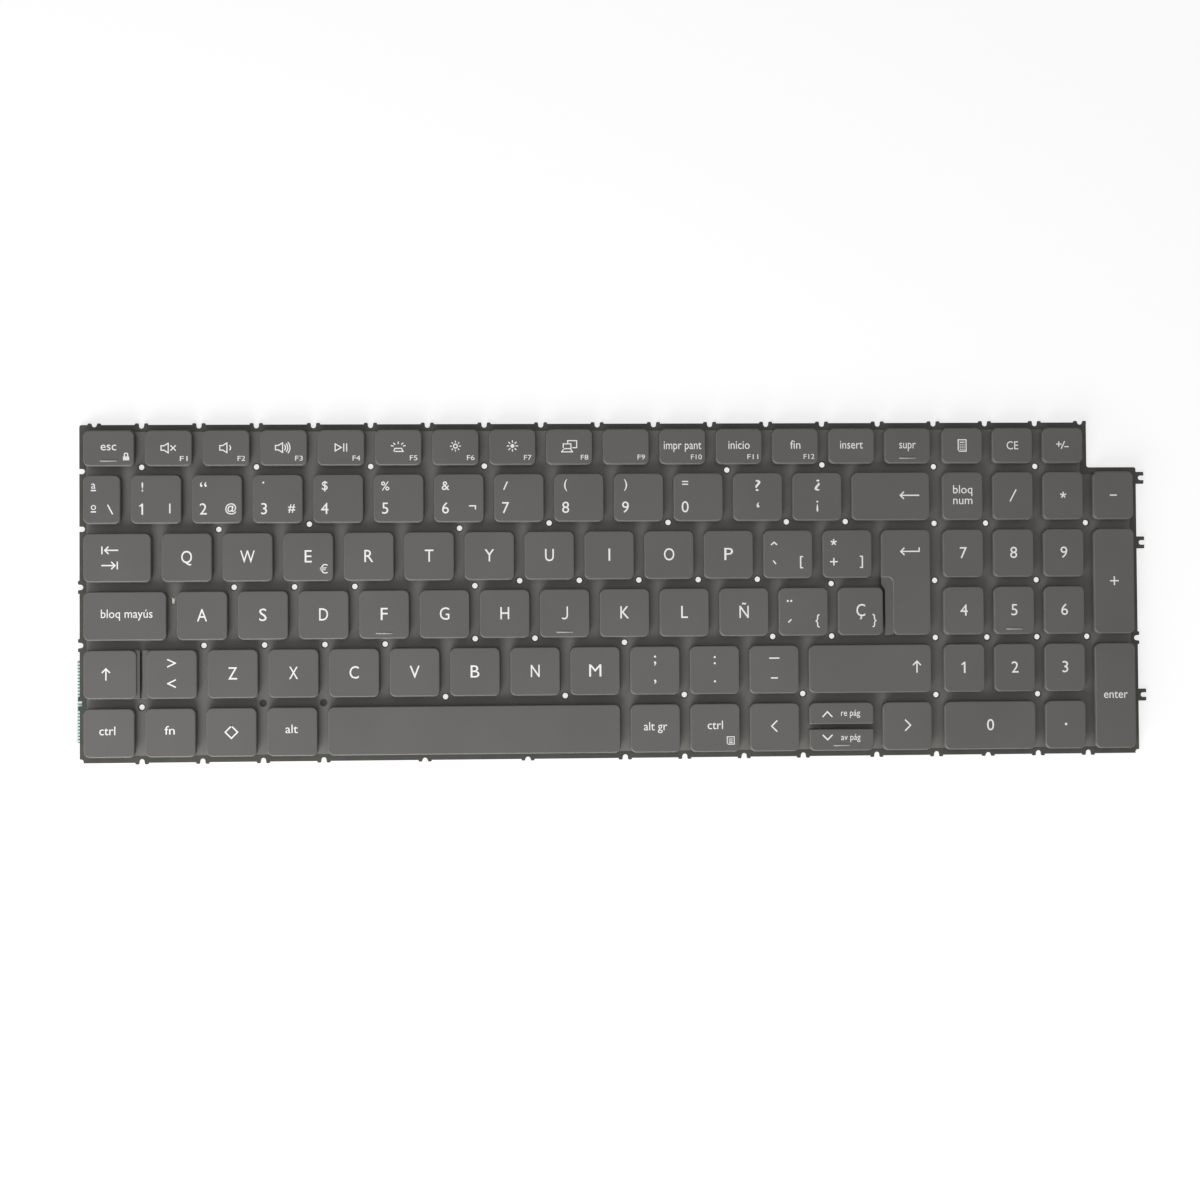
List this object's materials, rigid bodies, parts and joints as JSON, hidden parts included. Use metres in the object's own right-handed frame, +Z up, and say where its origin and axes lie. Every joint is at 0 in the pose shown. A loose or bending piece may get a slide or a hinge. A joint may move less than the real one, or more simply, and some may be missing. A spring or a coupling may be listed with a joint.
{
  "type": "notebook keyboard",
  "caption": "Flat notebook keyboard with a number pad: island keycaps over rubber domes, a switch membrane and a notched steel plate, with a ribbon tail. The typing keys press down.",
  "frame": {"origin": "under the middle of the keyboard's overall box, on the surface that it lies on", "axes": "+X along the rows towards the number pad, +Y towards the function row, +Z up through the keys"},
  "size_m": [0.336, 0.106, 0.0041],
  "materials": {
    "keycaps": "fine matte grey plastic",
    "plate": "matte black paint on steel",
    "membrane": "matte black film",
    "domes": "pale silicone",
    "panel": "pale light guide",
    "tail": "green film with bare contacts at its end",
    "light": "white lens",
    "wire": "bright wire"
  },
  "bodies": {
    "frame": {"base_plate": "plate", "membrane": "membrane", "backlight_panel": "panel", "rubber_domes": "domes", "ribbon_tail": "tail", "caps_lock_light": "light", "function_row_keycaps": "keycaps", "number_keycaps": "keycaps"},
    "q_key": {"q_keycap": "keycaps"},
    "w_key": {"w_keycap": "keycaps"},
    "e_key": {"e_keycap": "keycaps"},
    "r_key": {"r_keycap": "keycaps"},
    "t_key": {"t_keycap": "keycaps"},
    "y_key": {"y_keycap": "keycaps"},
    "u_key": {"u_keycap": "keycaps"},
    "i_key": {"i_keycap": "keycaps"},
    "o_key": {"o_keycap": "keycaps"},
    "p_key": {"p_keycap": "keycaps"},
    "grave_key": {"grave_keycap": "keycaps"},
    "plus_key": {"plus_keycap": "keycaps"},
    "a_key": {"a_keycap": "keycaps"},
    "s_key": {"s_keycap": "keycaps"},
    "d_key": {"d_keycap": "keycaps"},
    "f_key": {"f_keycap": "keycaps"},
    "g_key": {"g_keycap": "keycaps"},
    "h_key": {"h_keycap": "keycaps"},
    "j_key": {"j_keycap": "keycaps"},
    "k_key": {"k_keycap": "keycaps"},
    "l_key": {"l_keycap": "keycaps"},
    "n_tilde_key": {"n_tilde_keycap": "keycaps"},
    "acute_key": {"acute_keycap": "keycaps"},
    "c_cedilla_key": {"c_cedilla_keycap": "keycaps"},
    "z_key": {"z_keycap": "keycaps"},
    "x_key": {"x_keycap": "keycaps"},
    "c_key": {"c_keycap": "keycaps"},
    "v_key": {"v_keycap": "keycaps"},
    "b_key": {"b_keycap": "keycaps"},
    "n_key": {"n_keycap": "keycaps"},
    "m_key": {"m_keycap": "keycaps"},
    "comma_key": {"comma_keycap": "keycaps"},
    "period_key": {"period_keycap": "keycaps"},
    "hyphen_key": {"hyphen_keycap": "keycaps"},
    "tab_key": {"tab_keycap": "keycaps"},
    "caps_lock_key": {"caps_lock_keycap": "keycaps"},
    "left_shift_key": {"left_shift_keycap": "keycaps"},
    "less_than_key": {"less_than_keycap": "keycaps"},
    "right_shift_key": {"right_shift_keycap": "keycaps"},
    "enter_key": {"enter_keycap": "keycaps"},
    "left_ctrl_key": {"left_ctrl_keycap": "keycaps"},
    "fn_key": {"fn_keycap": "keycaps"},
    "system_key": {"system_keycap": "keycaps"},
    "alt_key": {"alt_keycap": "keycaps"},
    "space_key": {"space_keycap": "keycaps"},
    "alt_gr_key": {"alt_gr_keycap": "keycaps"},
    "right_ctrl_key": {"right_ctrl_keycap": "keycaps"},
    "left_arrow_key": {"left_arrow_keycap": "keycaps"},
    "up_arrow_key": {"up_arrow_keycap": "keycaps"},
    "down_arrow_key": {"down_arrow_keycap": "keycaps"},
    "right_arrow_key": {"right_arrow_keycap": "keycaps"},
    "space_wire": {"space_stabilizer_wire": "wire"}
  },
  "joints": [
    {"name": "q_press", "type": "slide", "parent": "frame", "child": "q_key", "axis": [0, 0, -1], "range_m": [0, 0.0012], "stiffness_N_per_m": 450, "springref_m": -0.0002, "deforming": ["rubber_domes"]},
    {"name": "w_press", "type": "slide", "parent": "frame", "child": "w_key", "axis": [0, 0, -1], "range_m": [0, 0.0012], "stiffness_N_per_m": 450, "springref_m": -0.0002, "deforming": ["rubber_domes"]},
    {"name": "e_press", "type": "slide", "parent": "frame", "child": "e_key", "axis": [0, 0, -1], "range_m": [0, 0.0012], "stiffness_N_per_m": 450, "springref_m": -0.0002, "deforming": ["rubber_domes"]},
    {"name": "r_press", "type": "slide", "parent": "frame", "child": "r_key", "axis": [0, 0, -1], "range_m": [0, 0.0012], "stiffness_N_per_m": 450, "springref_m": -0.0002, "deforming": ["rubber_domes"]},
    {"name": "t_press", "type": "slide", "parent": "frame", "child": "t_key", "axis": [0, 0, -1], "range_m": [0, 0.0012], "stiffness_N_per_m": 450, "springref_m": -0.0002, "deforming": ["rubber_domes"]},
    {"name": "y_press", "type": "slide", "parent": "frame", "child": "y_key", "axis": [0, 0, -1], "range_m": [0, 0.0012], "stiffness_N_per_m": 450, "springref_m": -0.0002, "deforming": ["rubber_domes"]},
    {"name": "u_press", "type": "slide", "parent": "frame", "child": "u_key", "axis": [0, 0, -1], "range_m": [0, 0.0012], "stiffness_N_per_m": 450, "springref_m": -0.0002, "deforming": ["rubber_domes"]},
    {"name": "i_press", "type": "slide", "parent": "frame", "child": "i_key", "axis": [0, 0, -1], "range_m": [0, 0.0012], "stiffness_N_per_m": 450, "springref_m": -0.0002, "deforming": ["rubber_domes"]},
    {"name": "o_press", "type": "slide", "parent": "frame", "child": "o_key", "axis": [0, 0, -1], "range_m": [0, 0.0012], "stiffness_N_per_m": 450, "springref_m": -0.0002, "deforming": ["rubber_domes"]},
    {"name": "p_press", "type": "slide", "parent": "frame", "child": "p_key", "axis": [0, 0, -1], "range_m": [0, 0.0012], "stiffness_N_per_m": 450, "springref_m": -0.0002, "deforming": ["rubber_domes"]},
    {"name": "grave_press", "type": "slide", "parent": "frame", "child": "grave_key", "axis": [0, 0, -1], "range_m": [0, 0.0012], "stiffness_N_per_m": 450, "springref_m": -0.0002, "deforming": ["rubber_domes"]},
    {"name": "plus_press", "type": "slide", "parent": "frame", "child": "plus_key", "axis": [0, 0, -1], "range_m": [0, 0.0012], "stiffness_N_per_m": 450, "springref_m": -0.0002, "deforming": ["rubber_domes"]},
    {"name": "a_press", "type": "slide", "parent": "frame", "child": "a_key", "axis": [0, 0, -1], "range_m": [0, 0.0012], "stiffness_N_per_m": 450, "springref_m": -0.0002, "deforming": ["rubber_domes"]},
    {"name": "s_press", "type": "slide", "parent": "frame", "child": "s_key", "axis": [0, 0, -1], "range_m": [0, 0.0012], "stiffness_N_per_m": 450, "springref_m": -0.0002, "deforming": ["rubber_domes"]},
    {"name": "d_press", "type": "slide", "parent": "frame", "child": "d_key", "axis": [0, 0, -1], "range_m": [0, 0.0012], "stiffness_N_per_m": 450, "springref_m": -0.0002, "deforming": ["rubber_domes"]},
    {"name": "f_press", "type": "slide", "parent": "frame", "child": "f_key", "axis": [0, 0, -1], "range_m": [0, 0.0012], "stiffness_N_per_m": 450, "springref_m": -0.0002, "deforming": ["rubber_domes"]},
    {"name": "g_press", "type": "slide", "parent": "frame", "child": "g_key", "axis": [0, 0, -1], "range_m": [0, 0.0012], "stiffness_N_per_m": 450, "springref_m": -0.0002, "deforming": ["rubber_domes"]},
    {"name": "h_press", "type": "slide", "parent": "frame", "child": "h_key", "axis": [0, 0, -1], "range_m": [0, 0.0012], "stiffness_N_per_m": 450, "springref_m": -0.0002, "deforming": ["rubber_domes"]},
    {"name": "j_press", "type": "slide", "parent": "frame", "child": "j_key", "axis": [0, 0, -1], "range_m": [0, 0.0012], "stiffness_N_per_m": 450, "springref_m": -0.0002, "deforming": ["rubber_domes"]},
    {"name": "k_press", "type": "slide", "parent": "frame", "child": "k_key", "axis": [0, 0, -1], "range_m": [0, 0.0012], "stiffness_N_per_m": 450, "springref_m": -0.0002, "deforming": ["rubber_domes"]},
    {"name": "l_press", "type": "slide", "parent": "frame", "child": "l_key", "axis": [0, 0, -1], "range_m": [0, 0.0012], "stiffness_N_per_m": 450, "springref_m": -0.0002, "deforming": ["rubber_domes"]},
    {"name": "n_tilde_press", "type": "slide", "parent": "frame", "child": "n_tilde_key", "axis": [0, 0, -1], "range_m": [0, 0.0012], "stiffness_N_per_m": 450, "springref_m": -0.0002, "deforming": ["rubber_domes"]},
    {"name": "acute_press", "type": "slide", "parent": "frame", "child": "acute_key", "axis": [0, 0, -1], "range_m": [0, 0.0012], "stiffness_N_per_m": 450, "springref_m": -0.0002, "deforming": ["rubber_domes"]},
    {"name": "c_cedilla_press", "type": "slide", "parent": "frame", "child": "c_cedilla_key", "axis": [0, 0, -1], "range_m": [0, 0.0012], "stiffness_N_per_m": 450, "springref_m": -0.0002, "deforming": ["rubber_domes"]},
    {"name": "z_press", "type": "slide", "parent": "frame", "child": "z_key", "axis": [0, 0, -1], "range_m": [0, 0.0012], "stiffness_N_per_m": 450, "springref_m": -0.0002, "deforming": ["rubber_domes"]},
    {"name": "x_press", "type": "slide", "parent": "frame", "child": "x_key", "axis": [0, 0, -1], "range_m": [0, 0.0012], "stiffness_N_per_m": 450, "springref_m": -0.0002, "deforming": ["rubber_domes"]},
    {"name": "c_press", "type": "slide", "parent": "frame", "child": "c_key", "axis": [0, 0, -1], "range_m": [0, 0.0012], "stiffness_N_per_m": 450, "springref_m": -0.0002, "deforming": ["rubber_domes"]},
    {"name": "v_press", "type": "slide", "parent": "frame", "child": "v_key", "axis": [0, 0, -1], "range_m": [0, 0.0012], "stiffness_N_per_m": 450, "springref_m": -0.0002, "deforming": ["rubber_domes"]},
    {"name": "b_press", "type": "slide", "parent": "frame", "child": "b_key", "axis": [0, 0, -1], "range_m": [0, 0.0012], "stiffness_N_per_m": 450, "springref_m": -0.0002, "deforming": ["rubber_domes"]},
    {"name": "n_press", "type": "slide", "parent": "frame", "child": "n_key", "axis": [0, 0, -1], "range_m": [0, 0.0012], "stiffness_N_per_m": 450, "springref_m": -0.0002, "deforming": ["rubber_domes"]},
    {"name": "m_press", "type": "slide", "parent": "frame", "child": "m_key", "axis": [0, 0, -1], "range_m": [0, 0.0012], "stiffness_N_per_m": 450, "springref_m": -0.0002, "deforming": ["rubber_domes"]},
    {"name": "comma_press", "type": "slide", "parent": "frame", "child": "comma_key", "axis": [0, 0, -1], "range_m": [0, 0.0012], "stiffness_N_per_m": 450, "springref_m": -0.0002, "deforming": ["rubber_domes"]},
    {"name": "period_press", "type": "slide", "parent": "frame", "child": "period_key", "axis": [0, 0, -1], "range_m": [0, 0.0012], "stiffness_N_per_m": 450, "springref_m": -0.0002, "deforming": ["rubber_domes"]},
    {"name": "hyphen_press", "type": "slide", "parent": "frame", "child": "hyphen_key", "axis": [0, 0, -1], "range_m": [0, 0.0012], "stiffness_N_per_m": 450, "springref_m": -0.0002, "deforming": ["rubber_domes"]},
    {"name": "tab_press", "type": "slide", "parent": "frame", "child": "tab_key", "axis": [0, 0, -1], "range_m": [0, 0.0012], "stiffness_N_per_m": 450, "springref_m": -0.0002, "deforming": ["rubber_domes"]},
    {"name": "caps_lock_press", "type": "slide", "parent": "frame", "child": "caps_lock_key", "axis": [0, 0, -1], "range_m": [0, 0.0012], "stiffness_N_per_m": 450, "springref_m": -0.0002, "deforming": ["rubber_domes"]},
    {"name": "left_shift_press", "type": "slide", "parent": "frame", "child": "left_shift_key", "axis": [0, 0, -1], "range_m": [0, 0.0012], "stiffness_N_per_m": 450, "springref_m": -0.0002, "deforming": ["rubber_domes"]},
    {"name": "less_than_press", "type": "slide", "parent": "frame", "child": "less_than_key", "axis": [0, 0, -1], "range_m": [0, 0.0012], "stiffness_N_per_m": 450, "springref_m": -0.0002, "deforming": ["rubber_domes"]},
    {"name": "right_shift_press", "type": "slide", "parent": "frame", "child": "right_shift_key", "axis": [0, 0, -1], "range_m": [0, 0.0012], "stiffness_N_per_m": 450, "springref_m": -0.0002, "deforming": ["rubber_domes"]},
    {"name": "enter_press", "type": "slide", "parent": "frame", "child": "enter_key", "axis": [0, 0, -1], "range_m": [0, 0.0012], "stiffness_N_per_m": 450, "springref_m": -0.0002, "deforming": ["rubber_domes"]},
    {"name": "left_ctrl_press", "type": "slide", "parent": "frame", "child": "left_ctrl_key", "axis": [0, 0, -1], "range_m": [0, 0.0012], "stiffness_N_per_m": 450, "springref_m": -0.0002, "deforming": ["rubber_domes"]},
    {"name": "fn_press", "type": "slide", "parent": "frame", "child": "fn_key", "axis": [0, 0, -1], "range_m": [0, 0.0012], "stiffness_N_per_m": 450, "springref_m": -0.0002, "deforming": ["rubber_domes"]},
    {"name": "system_press", "type": "slide", "parent": "frame", "child": "system_key", "axis": [0, 0, -1], "range_m": [0, 0.0012], "stiffness_N_per_m": 450, "springref_m": -0.0002, "deforming": ["rubber_domes"]},
    {"name": "alt_press", "type": "slide", "parent": "frame", "child": "alt_key", "axis": [0, 0, -1], "range_m": [0, 0.0012], "stiffness_N_per_m": 450, "springref_m": -0.0002, "deforming": ["rubber_domes"]},
    {"name": "space_press", "type": "slide", "parent": "frame", "child": "space_key", "axis": [0, 0, -1], "range_m": [0, 0.0012], "stiffness_N_per_m": 450, "springref_m": -0.0002, "deforming": ["rubber_domes"]},
    {"name": "alt_gr_press", "type": "slide", "parent": "frame", "child": "alt_gr_key", "axis": [0, 0, -1], "range_m": [0, 0.0012], "stiffness_N_per_m": 450, "springref_m": -0.0002, "deforming": ["rubber_domes"]},
    {"name": "right_ctrl_press", "type": "slide", "parent": "frame", "child": "right_ctrl_key", "axis": [0, 0, -1], "range_m": [0, 0.0012], "stiffness_N_per_m": 450, "springref_m": -0.0002, "deforming": ["rubber_domes"]},
    {"name": "left_arrow_press", "type": "slide", "parent": "frame", "child": "left_arrow_key", "axis": [0, 0, -1], "range_m": [0, 0.0012], "stiffness_N_per_m": 450, "springref_m": -0.0002, "deforming": ["rubber_domes"]},
    {"name": "up_arrow_press", "type": "slide", "parent": "frame", "child": "up_arrow_key", "axis": [0, 0, -1], "range_m": [0, 0.0012], "stiffness_N_per_m": 450, "springref_m": -0.0002, "deforming": ["rubber_domes"]},
    {"name": "down_arrow_press", "type": "slide", "parent": "frame", "child": "down_arrow_key", "axis": [0, 0, -1], "range_m": [0, 0.0012], "stiffness_N_per_m": 450, "springref_m": -0.0002, "deforming": ["rubber_domes"]},
    {"name": "right_arrow_press", "type": "slide", "parent": "frame", "child": "right_arrow_key", "axis": [0, 0, -1], "range_m": [0, 0.0012], "stiffness_N_per_m": 450, "springref_m": -0.0002, "deforming": ["rubber_domes"]},
    {"name": "space_wire_turn", "type": "hinge", "parent": "frame", "child": "space_wire", "pos_m": [-0.04462, -0.0417, 0.00137], "axis": [1, 0, 0], "range_deg": [0, 11.3]}
  ],
  "couplings": [
    {"joint": "space_wire_turn", "follows": "space_press", "rad_per_m": 164.29}
  ]
}
